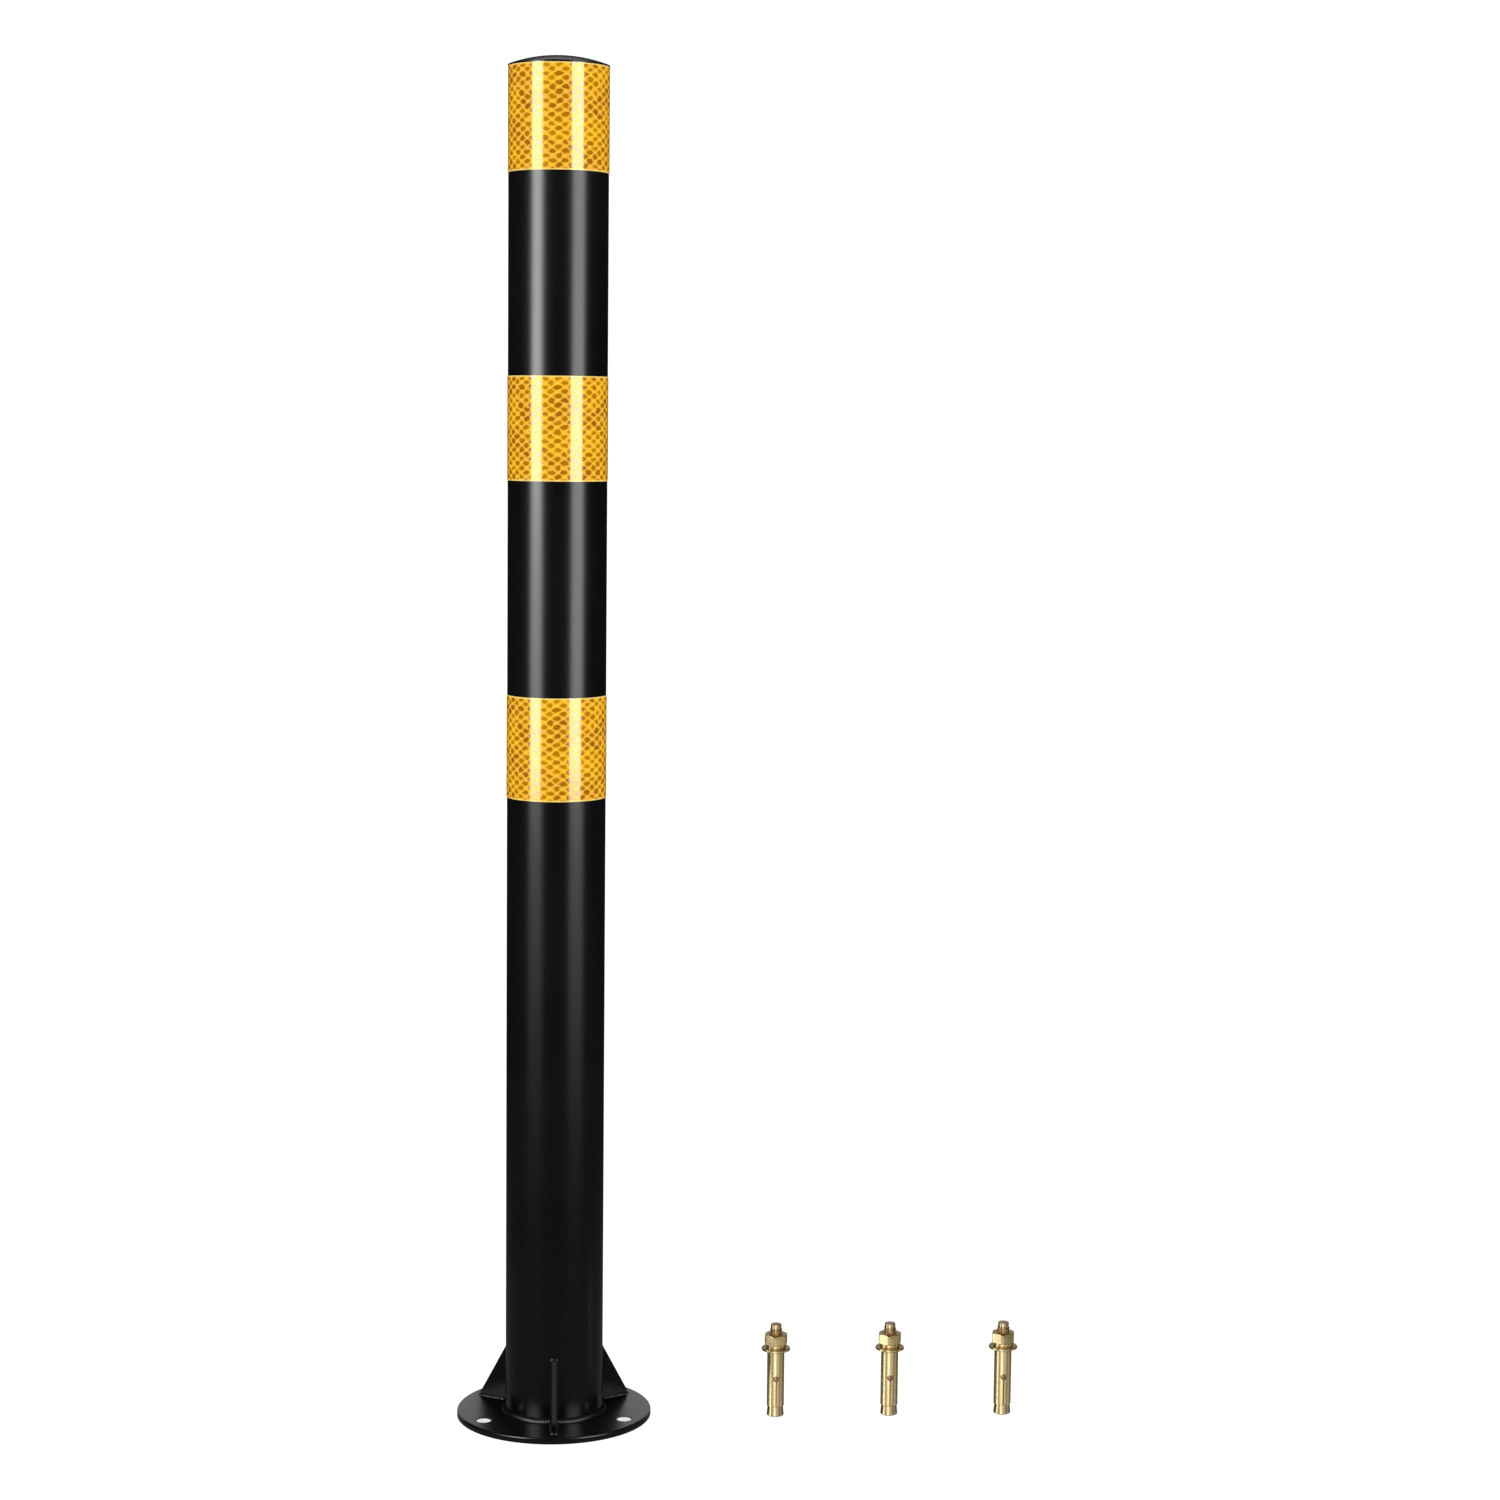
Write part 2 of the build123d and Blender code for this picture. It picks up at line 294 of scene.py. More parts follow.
class Recipe:
    """A node tree under construction."""

    def __init__(self, tree):
        self.tree = tree

    def node(self, kind, settings=None, inlets=None, outlet=0):
        """Adds one node: its settings first, a ramp's stops among them, then the values or links of its sockets."""
        made = self.tree.nodes.new(kind)
        for key, value in (settings or {}).items():
            if key == "stops":
                ramp = made.color_ramp
                for place, colour in value[1:-1]:
                    ramp.elements.new(place).color = (*colour, 1)
                for element, (place, colour) in zip(ramp.elements, value):
                    element.position, element.color = place, (*colour, 1)
            else:
                setattr(made, key, value)
        for key, value in (inlets or {}).items():
            self.feed(made.inputs[key], value)
        return Field(self, made.outputs[outlet])

    def feed(self, socket, value):
        """Links a field to a socket, or sets the socket's own value."""
        if isinstance(value, Field):
            self.tree.links.new(value.socket, socket)
        elif socket.type == "RGBA" and len(value) == 3:
            socket.default_value = (*value, 1)
        else:
            socket.default_value = value

    def coordinate(self, which):
        return self.node("ShaderNodeTexCoord", outlet=which)

    def parts(self, vector):
        """A vector's three parts as fields."""
        first = self.node("ShaderNodeSeparateXYZ", inlets={0: vector})
        return [Field(self, socket) for socket in first.socket.node.outputs]

    def joined(self, *parts):
        return self.node("ShaderNodeCombineXYZ", inlets=dict(enumerate(parts)))

    def noise(self, vector, scale, detail=2.0, rough=0.5):
        inlets = {"Vector": vector, "Scale": scale, "Detail": detail, "Roughness": rough}
        return self.node("ShaderNodeTexNoise", inlets=inlets)

    def blend(self, share, first, second, how="MIX"):
        settings = {"data_type": "RGBA", "blend_type": how}
        return self.node("ShaderNodeMix", settings, {0: share, 6: first, 7: second}, outlet=2)

    def ramp(self, share, stops):
        return self.node("ShaderNodeValToRGB", {"stops": stops}, {0: share})

    def bump(self, height, distance, strength=1.0):
        return self.node("ShaderNodeBump", inlets={"Strength": strength, "Distance": distance, "Height": height})


class Finish(Recipe):
    """A material. Values that are the same all over sit on the shader's own sockets."""

    def __init__(self, name, **same):
        self.material = bpy.data.materials.new(name)
        self.material.use_nodes = True
        super().__init__(self.material.node_tree)
        self.shader = self.tree.nodes["Principled BSDF"]
        self.surface(**same)

    def surface(self, **values):
        """Sets or links shader sockets, written with _ for a space."""
        for key, value in values.items():
            self.feed(self.shader.inputs[key.replace("_", " ")], value)
        return self.material


# ---------------------------------------------------------------- finishes
def powder_coat(name, weld=False):
    """Satin black powder coat: fine orange peel, slightly uneven gloss, a little dust in the hollows of its texture."""
    coat = Finish(name, Specular_IOR_Level=0.5)
    place = coat.coordinate("Object")
    peel = coat.noise(place, 620.0, 2.0)
    grain = coat.noise(place, 2600.0, 1.0)
    cloud = coat.noise(place, 9.0, 3.0)
    specks = coat.noise(place, 1500.0, 0.0).ease(0.76, 0.82)
    tone = coat.blend(cloud.ease(0.3, 0.75), (0.0009, 0.0009, 0.0010), (0.0020, 0.0020, 0.0022))
    tone = coat.blend(specks * 0.35, tone, (0.018, 0.017, 0.016))
    gloss = (0.32 if weld else 0.24) + 0.05 * (cloud - 0.5) + 0.04 * (grain - 0.5)
    height = peel + 0.25 * grain
    return coat.surface(Base_Color=tone, Roughness=gloss, Normal=coat.bump(height, 0.009 * MM))


def amber_tape(name, height):
    """Prismatic amber tape: diamond cells 10 mm wide and 6.7 mm high in a paler lattice under a clear gloss film, with
    pale sealed lines along both edges. The map is arc length by height above the band's foot, in millimetres."""
    tape = Finish(name, Coat_Roughness=0.11, Specular_IOR_Level=0.28, Specular_Tint=(1.0, 0.85, 0.3))
    cell_wide, cell_high, power = 10.053, 6.7, 2.2
    place = tape.coordinate("UV")
    drift = tape.noise(place, 0.11, 1.0)
    swell = tape.noise(place, 0.16, 1.0)
    u, v, _ = tape.parts(place)
    wobble = tape.noise(place, 0.3, 1.0)
    u, v = u + 4.6 * (drift - 0.5) + 1.6 * (wobble - 0.5), v + 3.2 * (swell - 0.5) + 1.6 * (wobble - 0.5)
    p, q = u / cell_wide + v / cell_high, u / cell_wide - v / cell_high
    a, b = abs(p.fraction() - 0.5), abs(q.fraction() - 0.5)
    lattice = (a**power + b**power) ** (1 / power)
    patch = tape.noise(place, 0.45, 2.0)
    wide = tape.noise(place, 0.05, 1.0)
    each = tape.node("ShaderNodeTexWhiteNoise", inlets={"Vector": tape.joined(p.whole(), q.whole(), 0.0)})
    cell = (lattice + 0.24 * (patch - 0.5) + 0.08 * (each - 0.5)).ease(0.27, 0.46)
    # painted highlight: paler spots where the lattice lines cross
    crossing_highlight = (a + b + 0.1 * (patch - 0.5)).ease(0.72, 0.95)
    shade = 0.6 * each + 0.4 * wide.ease(0.35, 0.65)
    deep = tape.blend(shade, (0.31, 0.110, 0.000), (0.55, 0.235, 0.000))
    line = tape.blend(wide.ease(0.35, 0.65), (0.84, 0.42, 0.032), (0.89, 0.48, 0.020))
    colour = tape.blend(cell, deep, line)
    colour = tape.blend(crossing_highlight * 0.6, colour, (1.0, 0.64, 0.09))
    rim = tape.parts(place)[1]
    from_edge = rim.smaller(height / MM - rim)
    border = (from_edge + 0.5 * (patch - 0.5)).ease(1.5, 0.7)
    colour = tape.blend(border * 0.75, colour, (0.98, 0.70, 0.20))
    raised = (1 - cell) * 0.8 + 0.25 * patch
    bump = tape.bump(raised * from_edge.ease(0.8, 1.8), 0.003 * MM)
    return tape.surface(Base_Color=colour, Roughness=0.13 + 0.04 * cell, Coat_Weight=0.85 - 0.47 * cell, Normal=bump)


def yellow_zinc(name, across, along, tip=False, scored=None, painted_shade=0.0):
    """Yellow passivated zinc: hues drift from gold to green, cream and rose in streaks along the piece, with fine
    scratches. The streaks are partly the zinc's own drift of hue and partly painted reflection. across and along
    stretch the streaks, in shares of a turn of the noise per millimetre. tip gives the rosier hues of a thread, and the
    last argument is how far the colour goes to a dark rose: painted shade, for a stem that sits in the sleeve's shadow.
    scored, on the sleeve, is the sector's width and the heights between which scored zigzags show, and it paints shade
    on the slots' edges up to the keyholes, where the slots lie in shadow."""
    zinc = Finish(name, Metallic=1.0)
    place = zinc.coordinate("UV")
    u, v, _ = zinc.parts(place)
    streak = zinc.noise(zinc.joined(u * across, v * along, 3.7), 1.0, 2.5, 0.55)
    hue = zinc.noise(zinc.joined(u * across * 0.6, v * along * 1.4, 9.1), 1.0, 1.5)
    fine = zinc.noise(zinc.joined(u * 6.0, v * 0.5, 1.3), 1.0, 2.0)
    gold, green, cream, rose = (0.80, 0.58, 0.23), (0.66, 0.62, 0.24), (0.96, 0.80, 0.44), (0.80, 0.54, 0.38)
    if tip:
        gold, green = (0.74, 0.48, 0.32), (0.80, 0.60, 0.36)
    # the streaks' hues are partly the zinc's own drift of hue and partly painted reflection, the pale ones standing in
    # for highlights
    colour = zinc.ramp(streak, [(0.28, green), (0.42, gold), (0.55, cream), (0.68, gold), (0.80, rose)])
    colour = zinc.blend(hue.ease(0.52, 0.70) * 0.65, colour, rose)
    colour = zinc.blend(fine.ease(0.55, 0.80) * 0.30, colour, (0.93, 0.84, 0.58))
    # painted shade: the colour goes towards a dark rose, for a part that sits in shadow
    if painted_shade:
        colour = zinc.blend(painted_shade, colour, (0.26, 0.12, 0.09))
    gloss = 0.24 + 0.16 * (fine - 0.4)
    height = fine * 0.35
    if scored:
        pitch, low, high = scored
        rise, swing, margin, slot_end = 5.6, 6.6, 2.4, 21.2
        slot = (u / pitch).fraction()
        from_slot = slot.smaller(1 - slot) * pitch
        wave = abs((v / rise).fraction() - 0.5) * swing
        cross = abs((v / rise + 0.5).fraction() - 0.5) * swing
        off_wave = abs(from_slot - margin - wave)
        off_cross = abs(from_slot - margin - cross)
        nearest = off_wave.smaller(off_cross + 0.35 * (hue - 0.35).ease(0.0, 0.2))
        mark = nearest.ease(0.26, 0.10) * v.ease(low, low + 1.0) * v.ease(high, high - 1.0)
        mark = mark * streak.ease(0.25, 0.45)
        colour = zinc.blend(mark * 0.55, colour, (0.98, 0.90, 0.66))
        # painted shade: the slots' edges darken up to the keyholes, where the slots lie in shadow
        painted_slot_shade = from_slot.ease(0.60, 0.34) * v.ease(slot_end, slot_end - 0.6)
        colour = zinc.blend(painted_slot_shade, colour, (0.05, 0.03, 0.02))
        height = height - mark * 1.6
    return zinc.surface(Base_Color=colour, Roughness=gloss, Normal=zinc.bump(height, 0.02 * MM))


def bare_steel(name):
    """Bare bright steel of a punched hole's wall, with fine streaks down it."""
    steel = Finish(name, Metallic=0.15)
    streak = steel.noise(steel.coordinate("Object"), 900.0, 2.0)
    colour = steel.blend(streak, (0.86, 0.86, 0.86), (0.95, 0.95, 0.95))
    return steel.surface(Base_Color=colour, Roughness=0.35 + 0.3 * streak)


black = powder_coat("satin_black_powder_coat")
bare = bare_steel("bare_steel_in_plate_holes")
black_weld = powder_coat("black_powder_coat_on_weld", weld=True)


# ---------------------------------------------------------------- the post
def post_pieces():
    """The tube, the domed cap and the weld at the foot. The cap's crown is a circle through its rim of radius
    (lip^2 + rise^2) / (2 rise)."""
    bore = tube_radius - tube_wall
    foot = tube_low[2]
    wall = [
        (bore, foot, 0),
        (tube_radius, foot, 0),
        (tube_radius, tube_top, 0),
        (bore, tube_top, 0),
        (bore, foot, 0),
    ]
    turned(rounded(wall), 192).piece("round_post", "post_tube", "post", "black_powder_coat", black)

    lip = cap_high[0]
    shoulder = tube_top + 1.2 * MM
    rise = cap_high[2] - shoulder
    dome = (lip**2 + rise**2) / (2 * rise)
    sweep = np.linspace(0, np.arcsin((lip - 0.55 * MM) / dome), 40)
    crown = np.stack([dome * np.sin(sweep), cap_high[2] - dome * (1 - np.cos(sweep))], 1)
    sheet, skirt = 1.5 * MM, bore - 0.15 * MM
    under = rounded(
        [
            (lip - 0.5 * MM, crown[-1, 1] - 0.1 * MM, 0),
            (lip, shoulder - 0.1 * MM, 0.5 * MM),
            (lip, tube_top, 0),
            (skirt, tube_top, 0),
            (skirt, cap_low[2], 0.4 * MM),
            (skirt - sheet, cap_low[2], 0.4 * MM),
            (skirt - sheet, tube_top, 0),
            (0, tube_top + 5.0 * MM, 0),
        ]
    )
    turned(np.concatenate([crown, under]), 160).piece(
        "domed_cap", "top_cap", "post", "black_powder_coat", black, crease=40
    )

    # the weld round the post's foot: a superellipse face with crescent ripples
    leg = weld_high[0] - gusset_root
    turn = np.linspace(BACK, BACK + 2 * pi, 1201)
    v = np.linspace(0, pi / 2, 11)[:, None]
    beat = 2 * pi * 118 * (turn - BACK) / (2 * pi)
    ripple = 0.07 * MM * np.cos(beat - 2.4 * np.sin(2 * v)) * np.sin(2 * v)
    swell = 0.06 * MM * np.sin(turn * 7 + 1.0) * np.sin(2 * v)
    out, up = (leg * part(v) ** 1.4 + ripple + swell - 0.06 * MM for part in (np.cos, np.sin))
    none = np.zeros((1, len(turn)))
    out, up = np.concatenate([out.clip(0), none, out[:1].clip(0)]), np.concatenate([up.clip(0), none, up[:1].clip(0)])
    ring = around(gusset_root + out, plate_top + up, turn)
    Shell().grid(ring, turn * gusset_root, out).piece(
        "post_foot_weld", "tube_foot_weld", "post", "black_powder_coat", black_weld, crease=60
    )


def plate_piece():
    """Round plate in three like sectors. A sector's grid fans out from its hole: column k joins the hole's edge to the
    border, which is one straight side, the arc and the other side, so neighbours meet point for point."""
    shell = Shell()
    round_top, round_hole, foot_edge = 1.6 * MM, 0.5 * MM, 0.25 * MM
    flat, base = plate_radius - round_top, plate_radius - foot_edge
    side_steps, arc_points = 36, 121
    w = np.linspace(0, pi / 2, 7)
    rim_r = np.concatenate([flat + round_top * np.sin(w), [plate_radius, plate_radius, base]])
    rim_z = np.concatenate([plate_top - round_top * (1 - np.cos(w)), [plate_top - 1.9 * MM, foot_edge, 0.0]])
    swept = np.concatenate([np.zeros(side_steps), np.linspace(0, 1, arc_points), np.ones(side_steps)])
    turn = swept * 2 * pi / 3 - pi / 3
    out, back = np.linspace(0, 1, side_steps + 1), np.linspace(1, 0, side_steps + 1)
    share = np.concatenate([out[:-1], np.ones(arc_points), back[1:]])
    spread = np.array([1.0, 0.985, 0.5, 0.12, 0.02, 0.0])[:, None]
    lip = np.linspace(0, pi / 2, 5)[:, None]
    for middle in hole_turns:
        at = hole_circle * np.array([cos(middle), sin(middle)])

        def border(reach):
            return np.stack([reach * share * np.cos(middle + turn), reach * share * np.sin(middle + turn)], -1)

        def fan(reach, grow):
            edge = border(reach)
            ray = (edge - at) / np.linalg.norm(edge - at, axis=1)[:, None]
            return at + ray * (hole_radius + grow), edge

        hole, edge = fan(flat, round_hole)
        top = hole + (edge - hole) * spread[..., None]
        ray = (hole - at) / (hole_radius + round_hole)
        softened = hole_radius + round_hole * (1 - np.sin(lip))
        wall_r = np.concatenate([softened, [[hole_radius]] * 3, [[hole_radius + foot_edge]]])
        wall_z = np.concatenate(
            [plate_top - round_hole * (1 - np.cos(lip)), [[plate_top - 0.6 * MM], [0.3 * MM], [foot_edge], [0.0]]]
        )
        wall = at + ray * wall_r[..., None]
        flat_rows = np.concatenate([top, wall])
        heights = np.concatenate([np.full((len(top), 1), plate_top), wall_z])
        shell.grid(np.dstack([flat_rows, np.broadcast_to(heights, flat_rows.shape[:2])]))
        shell.grid(around(rim_r[:, None], rim_z[:, None], middle + turn[side_steps:-side_steps]))
        # the underside's hole edge keeps the wall's own columns
        under = wall[-1] + (border(base) - wall[-1]) * spread[::-1][..., None]
        shell.grid(np.dstack([under, np.zeros(under.shape[:2])]))
    made = shell.piece("round_foot_plate", "base_plate", "post", "black_powder_coat", black, crease=40)
    made.data.materials.append(bare)
    spots = np.zeros(len(made.data.polygons) * 3)
    made.data.polygons.foreach_get("center", spots)
    spots = spots.reshape(-1, 3)
    at = hole_circle * np.stack([np.cos(hole_turns), np.sin(hole_turns)], 1)
    gap = np.linalg.norm(spots[:, None, :2] - at, axis=2).min(1)
    in_wall = (gap < hole_radius + 0.02 * MM) & (spots[:, 2] < plate_top - round_hole)
    made.data.polygons.foreach_set("material_index", in_wall.astype(np.int32))


def gusset_pieces():
    """Three like triangular slabs, each with two beads that run up one side, round the end and down the other."""
    low, high = box_of("front_gusset")
    toe, top, thickness = -low[1], high[2], high[0] - low[0]
    snipe, tip, toe_lip = 5.0 * MM, 2.0 * MM, 3.5 * MM
    clear = 0.6 * MM  # from the snipe to a bead's start
    leg, half = 1.3 * MM, thickness / 2 + 0.02 * MM
    outline = [
        (gusset_root, plate_top + snipe),
        (gusset_root + snipe, plate_top),
        (toe, plate_top),
        (toe, plate_top + toe_lip),
        (gusset_root + tip, top),
        (gusset_root, top),
    ]
    for side, turn in gusset_turns.items():
        slab(outline, thickness, 0.45 * MM, upright(turn)).piece(
            f"gusset_{side}", f"{side}_gusset", "post", "black_powder_coat", black, crease=45
        )

        # beads in the corners: along the foot and round the toe, then up the post and over the tip
        beads = Shell()
        place = upright(turn)
        foot_track = hairpin(half, gusset_root + snipe + clear, toe)
        fillet_bead(beads, foot_track, leg, lambda a, b, h: place(b, a, plate_top + weld_gap + h))
        post_track = hairpin(half, plate_top + snipe + clear, top, steps=70)
        fillet_bead(
            beads,
            post_track,
            leg,
            lambda a, b, h: place(np.sqrt(gusset_root**2 - a**2) + h, a, b),
        )
        beads.piece(f"gusset_{side}_beads", f"{side}_gusset_weld", "post", "black_powder_coat", black_weld, crease=70)


def tape_pieces():
    """A band is wound on with a short lap at the back: its radius steps up by one thickness at the lap's open end."""
    for place in ("top", "middle", "lower"):
        low, high = box_of(f"{place}_reflective_band")
        height, outer = high[2] - low[2], high[1]
        inner = tube_radius + 0.05 * MM
        turn = np.linspace(BACK, BACK + 2 * pi, 289)
        lap = np.clip((BACK + 0.30 - turn) / 0.30, 0, 1) ** 0.5 * (turn > BACK + 1e-6)
        crown = 0.18 * MM
        section = rounded(
            [
                (inner, low[2] + height / 2, 0),
                (inner, low[2], 0),
                (outer, low[2], crown),
                (outer, high[2], crown),
                (inner, high[2], 0),
                (inner, low[2] + height / 2, 0),
            ],
            steps=3,
        )
        outside = np.clip((section[:, :1] - inner) / (outer - inner), 0, 1)
        radius = section[:, :1] + 0.30 * MM * lap * outside
        points = around(radius, section[:, 1:], turn)
        Shell().grid(points, turn * outer, section[:, 1:] - low[2]).piece(
            f"tape_{place}", f"{place}_reflective_band", "post", "reflective_tape", amber, crease=50
        )


band_low, band_high = box_of("top_reflective_band")
amber = amber_tape("amber_reflective_tape", band_high[2] - band_low[2])


# ---------------------------------------------------------------- the anchors
zinc_stud = yellow_zinc("yellow_zinc_on_cone_bolt", 0.12, 0.03)
zinc_tip = yellow_zinc("rosy_zinc_on_thread", 0.20, 0.12, tip=True)
# the bolt's stem inside the sleeve: painted shade darkens its zinc towards a dark rose
zinc_stem_in_painted_shade = yellow_zinc("rose_zinc_on_bolt_stem", 0.20, 0.12, tip=True, painted_shade=0.75)
sleeve_sector = 14.137
zinc_sleeve = yellow_zinc("yellow_zinc_on_sleeve", 0.33, 0.012, scored=(sleeve_sector, 1.2, 21.5))
zinc_washer = yellow_zinc("yellow_zinc_on_washers", 0.10, 0.16)
zinc_nut = yellow_zinc("yellow_zinc_on_nut", 0.11, 0.10)


def stud_piece(name, centre):
    """Bolt with a cone at its foot. The radius at height z and turn a is the outline's own, less the thread's depth
    times one minus the tooth of z / pitch - a / 2 pi, which is a clipped triangle wave. Its cone, the stem inside the
    sleeve and the thread have a finish each."""
    low, high = box_of(f"{name}_stud")
    stem, tip, cone = stud_radius, 4.2 * MM, (high[0] - low[0]) / 2
    mouth = box_of(f"{name}_sleeve")[0][2]
    at_mouth = cone + (stem - cone) * mouth / cone_height
    end, shoulder = high[2], high[2] - 3.6 * MM
    pitch, depth = thread_pitch, 0.86 * MM
    thread = np.arange(46.0 * MM, shoulder - 0.05 * MM, pitch / 11)
    outline = np.concatenate(
        [
            rounded([(0, 0, 0), (cone, 0, 0.9 * MM), (at_mouth, mouth, 0), (stem, cone_height, 0)], 6),
            np.stack([np.full_like(thread, stem), thread], 1),
            rounded([(tip, shoulder, 0), (tip, end, 0.5 * MM), (0, end, 0)], 5),
        ]
    )
    turn = np.linspace(BACK, BACK + 2 * pi, 97)
    r, z = outline[:, :1], outline[:, 1:]
    saw = np.abs(2 * ((z / pitch - turn / (2 * pi)) % 1) - 1)
    tooth = np.clip((saw - 0.16) / 0.74, 0, 1)
    gate = np.clip((z - 46.5 * MM) / pitch, 0, 1) * (z < shoulder - 1e-6)
    radius = r - depth * (1 - tooth) * gate
    chamfer = tip + np.clip(shoulder - z, 0, 1) * 1.1
    radius = np.where((z > 60 * MM) & (z < shoulder), np.minimum(radius, chamfer), radius)
    shell = Shell().grid(around(radius, z, turn, centre), turn * cone, walked(outline)[:, None])
    made = shell.piece(f"{name}_cone_bolt", f"{name}_stud", f"{name}_stud", "yellow_zinc", zinc_stud, crease=50)
    made.data.materials.append(zinc_tip)
    made.data.materials.append(zinc_stem_in_painted_shade)
    heights = np.zeros(len(made.data.polygons) * 3)
    made.data.polygons.foreach_get("center", heights)
    heights = heights[2::3]
    # 0 is the cone, 1 the thread, and 2 the stem inside the sleeve, whose finish carries painted shade
    kinds = np.where(heights > thread_foot, 1, np.where(heights > mouth, 2, 0))
    made.data.polygons.foreach_set("material_index", kinds.astype(np.int32))


def sleeve_piece(name, centre):
    """Slotted sleeve in three like sectors. At each height the sector runs from one keyhole's edge to the next: the
    edge is a straight slot's half width, then the hole's circle r sin w at height h - r cos w, and nothing above."""
    low, high = box_of(f"{name}_sleeve")
    outer, mouth, top = (high[1] - low[1]) / 2, low[2], high[2]
    mouth_bore = 6.15 * MM
    hole, hole_at, slot = 2.25 * MM, mouth + 22.9 * MM, 0.25 * MM
    soft = 0.16 * MM

    def keyhole(grow):
        r, half = hole + grow, slot + 0.6 * grow
        join = np.arcsin(half / r)
        w = np.linspace(join, pi, 25)
        straight = np.linspace(mouth + soft, hole_at - r * cos(join), 16)[:-1]
        edge = np.concatenate([np.full(15, half), r * np.sin(w)])
        return edge.clip(0)[:, None], np.concatenate([straight, hole_at - r * np.cos(w)])[:, None]

    def bore_at(z):
        return np.interp(z, [mouth, cone_height], [mouth_bore, running_bore])

    shell = Shell()
    t = np.linspace(0, 1, 33)
    for number in range(3):
        start = FRONT + number * 2 * pi / 3
        half_out, z_out = keyhole(soft)
        half_in, z_in = keyhole(0.0)
        rest_out = np.linspace(z_out[-1, 0], top - soft, 8)[1:, None]
        rest_in = np.linspace(z_in[-1, 0], top - soft, 8)[1:, None]
        z_all, half_all = np.concatenate([z_out, rest_out]), np.concatenate([half_out, 0 * rest_out])
        gap = np.arcsin(half_all / outer)
        turn = start + gap + t * (2 * pi / 3 - 2 * gap)
        across = (turn - FRONT) * outer
        shell.grid(around(outer, z_all, turn, centre), across, z_all - mouth)
        z_bore, half_bore = np.concatenate([z_in, rest_in]), np.concatenate([half_in, 0 * rest_in])
        gap_in = np.arcsin(half_bore / bore_at(z_bore))
        turn_in = start + gap_in + t * (2 * pi / 3 - 2 * gap_in)
        shell.grid(around(bore_at(z_bore), z_bore, turn_in, centre), across, z_bore - mouth)
        # the two ends, each softened on its outer edge
        for z_end, row, step in ((mouth, 0, 1), (top, -1, -1)):
            inner_r = bore_at(z_bore[row, 0])
            rows = [
                around(outer, z_all[row, 0], turn[row], centre),
                around(outer - 0.3 * soft, z_all[row, 0] - step * 0.7 * soft, turn[row], centre),
                around(outer - soft, z_end, turn[row], centre),
                around(inner_r + 0.01 * MM, z_end, turn_in[row], centre),
                around(inner_r, z_bore[row, 0], turn_in[row], centre),
            ]
            shell.grid(np.stack(rows), across[row], np.array([0, 0.1, 0.2, 1.5, 1.6])[:, None] * MM)
        # the keyhole's two walls, from the softened outer edge in to the bore
        for side in (1, -1):
            edge_turn = start + (0 if side == 1 else 2 * pi / 3)
            deep = outer - soft
            walls = [
                around(outer, z_out, edge_turn + side * np.arcsin(half_out / outer), centre),
                around(deep, z_in, edge_turn + side * np.arcsin(half_in / deep), centre),
                around(bore_at(z_in), z_in, edge_turn + side * np.arcsin(half_in / bore_at(z_in)), centre),
            ]
            shell.grid(np.concatenate(walls, 1), np.array([0, 0.2, 1.6]) * MM, z_out - mouth)
            # the small faces that close each wall at the mouth
            toe = [wall[:1] for wall in walls]
            mouth_r = bore_at(z_in[0, 0])
            lip_turn = edge_turn + side * np.arcsin(half_out[:1] / outer)
            mouth_turn = edge_turn + side * np.arcsin(half_in[:1] / mouth_r)
            end_out = around(outer - soft, mouth, lip_turn, centre)
            end_in = around(mouth_r + 0.01 * MM, mouth, mouth_turn, centre)
            side_out = around(outer - 0.3 * soft, mouth + 0.3 * soft, lip_turn, centre)
            shell.grid(np.concatenate([np.concatenate([toe[0], toe[1]], 1), np.concatenate([side_out, toe[1]], 1)]))
            shell.grid(np.concatenate([np.concatenate([side_out, toe[1]], 1), np.concatenate([end_out, toe[1]], 1)]))
            shell.grid(np.concatenate([np.concatenate([end_out, toe[1]], 1), np.concatenate([end_in, toe[2]], 1)]))
    shell.piece(
        f"{name}_expansion_sleeve", f"{name}_sleeve", f"{name}_sleeve", "yellow_zinc", zinc_sleeve, crease=38
    )


def washer_pieces(name, centre):
    """Flat washer, a lathe skin, and the split spring washer above it."""
    low, high = box_of(f"{name}_flat_washer")
    bore, rim, foot, top = washer_bore, (high[0] - low[0]) / 2, low[2], high[2]
    middle = (foot + top) / 2
    outline = rounded(
        [
            (bore, middle, 0),
            (bore, foot, 0.2 * MM),
            (rim, foot, 0.45 * MM),
            (rim, top, 0.75 * MM),
            (bore, top, 0.3 * MM),
            (bore, middle, 0),
        ]
    )
    turned(outline, 128, centre).piece(
        f"{name}_wide_washer", f"{name}_flat_washer", f"{name}_flat_washer", "yellow_zinc", zinc_washer, crease=50
    )

    # split ring: the section sweeps once round, and both ends lean by height / radius, for a 45 degree split
    low, high = box_of(f"{name}_spring_washer")
    rim, foot, top = (high[1] - low[1]) / 2, low[2], high[2]
    soft, split = 0.3 * MM, 0.9 * MM
    section = rounded(
        [
            (bore, (foot + top) / 2, 0),
            (bore, foot, soft),
            (rim, foot, soft),
            (rim, top, soft),
            (bore, top, soft),
            (bore, (foot + top) / 2, 0),
        ]
    )
    r, z = section[:, :1], section[:, 1:]
    lean = (z - foot) / r
    t = np.linspace(0, 1, 121)
    turn = radians(-55) + (split / r + lean) + t * (2 * pi - split / r)
    ring = around(r, z, turn, centre)
    shell = Shell().grid(ring, t * 2 * pi * rim, walked(section)[:, None])
    for end in (0, -1):
        face = ring[:, end]
        middle = np.broadcast_to(face[:-1].mean(0), face.shape)
        shell.grid(np.stack([face, middle], 1), np.array([0, 1.0]) * MM, z - foot)
    shell.piece(
        f"{name}_split_washer", f"{name}_spring_washer", f"{name}_spring_washer", "yellow_zinc", zinc_washer, crease=50
    )


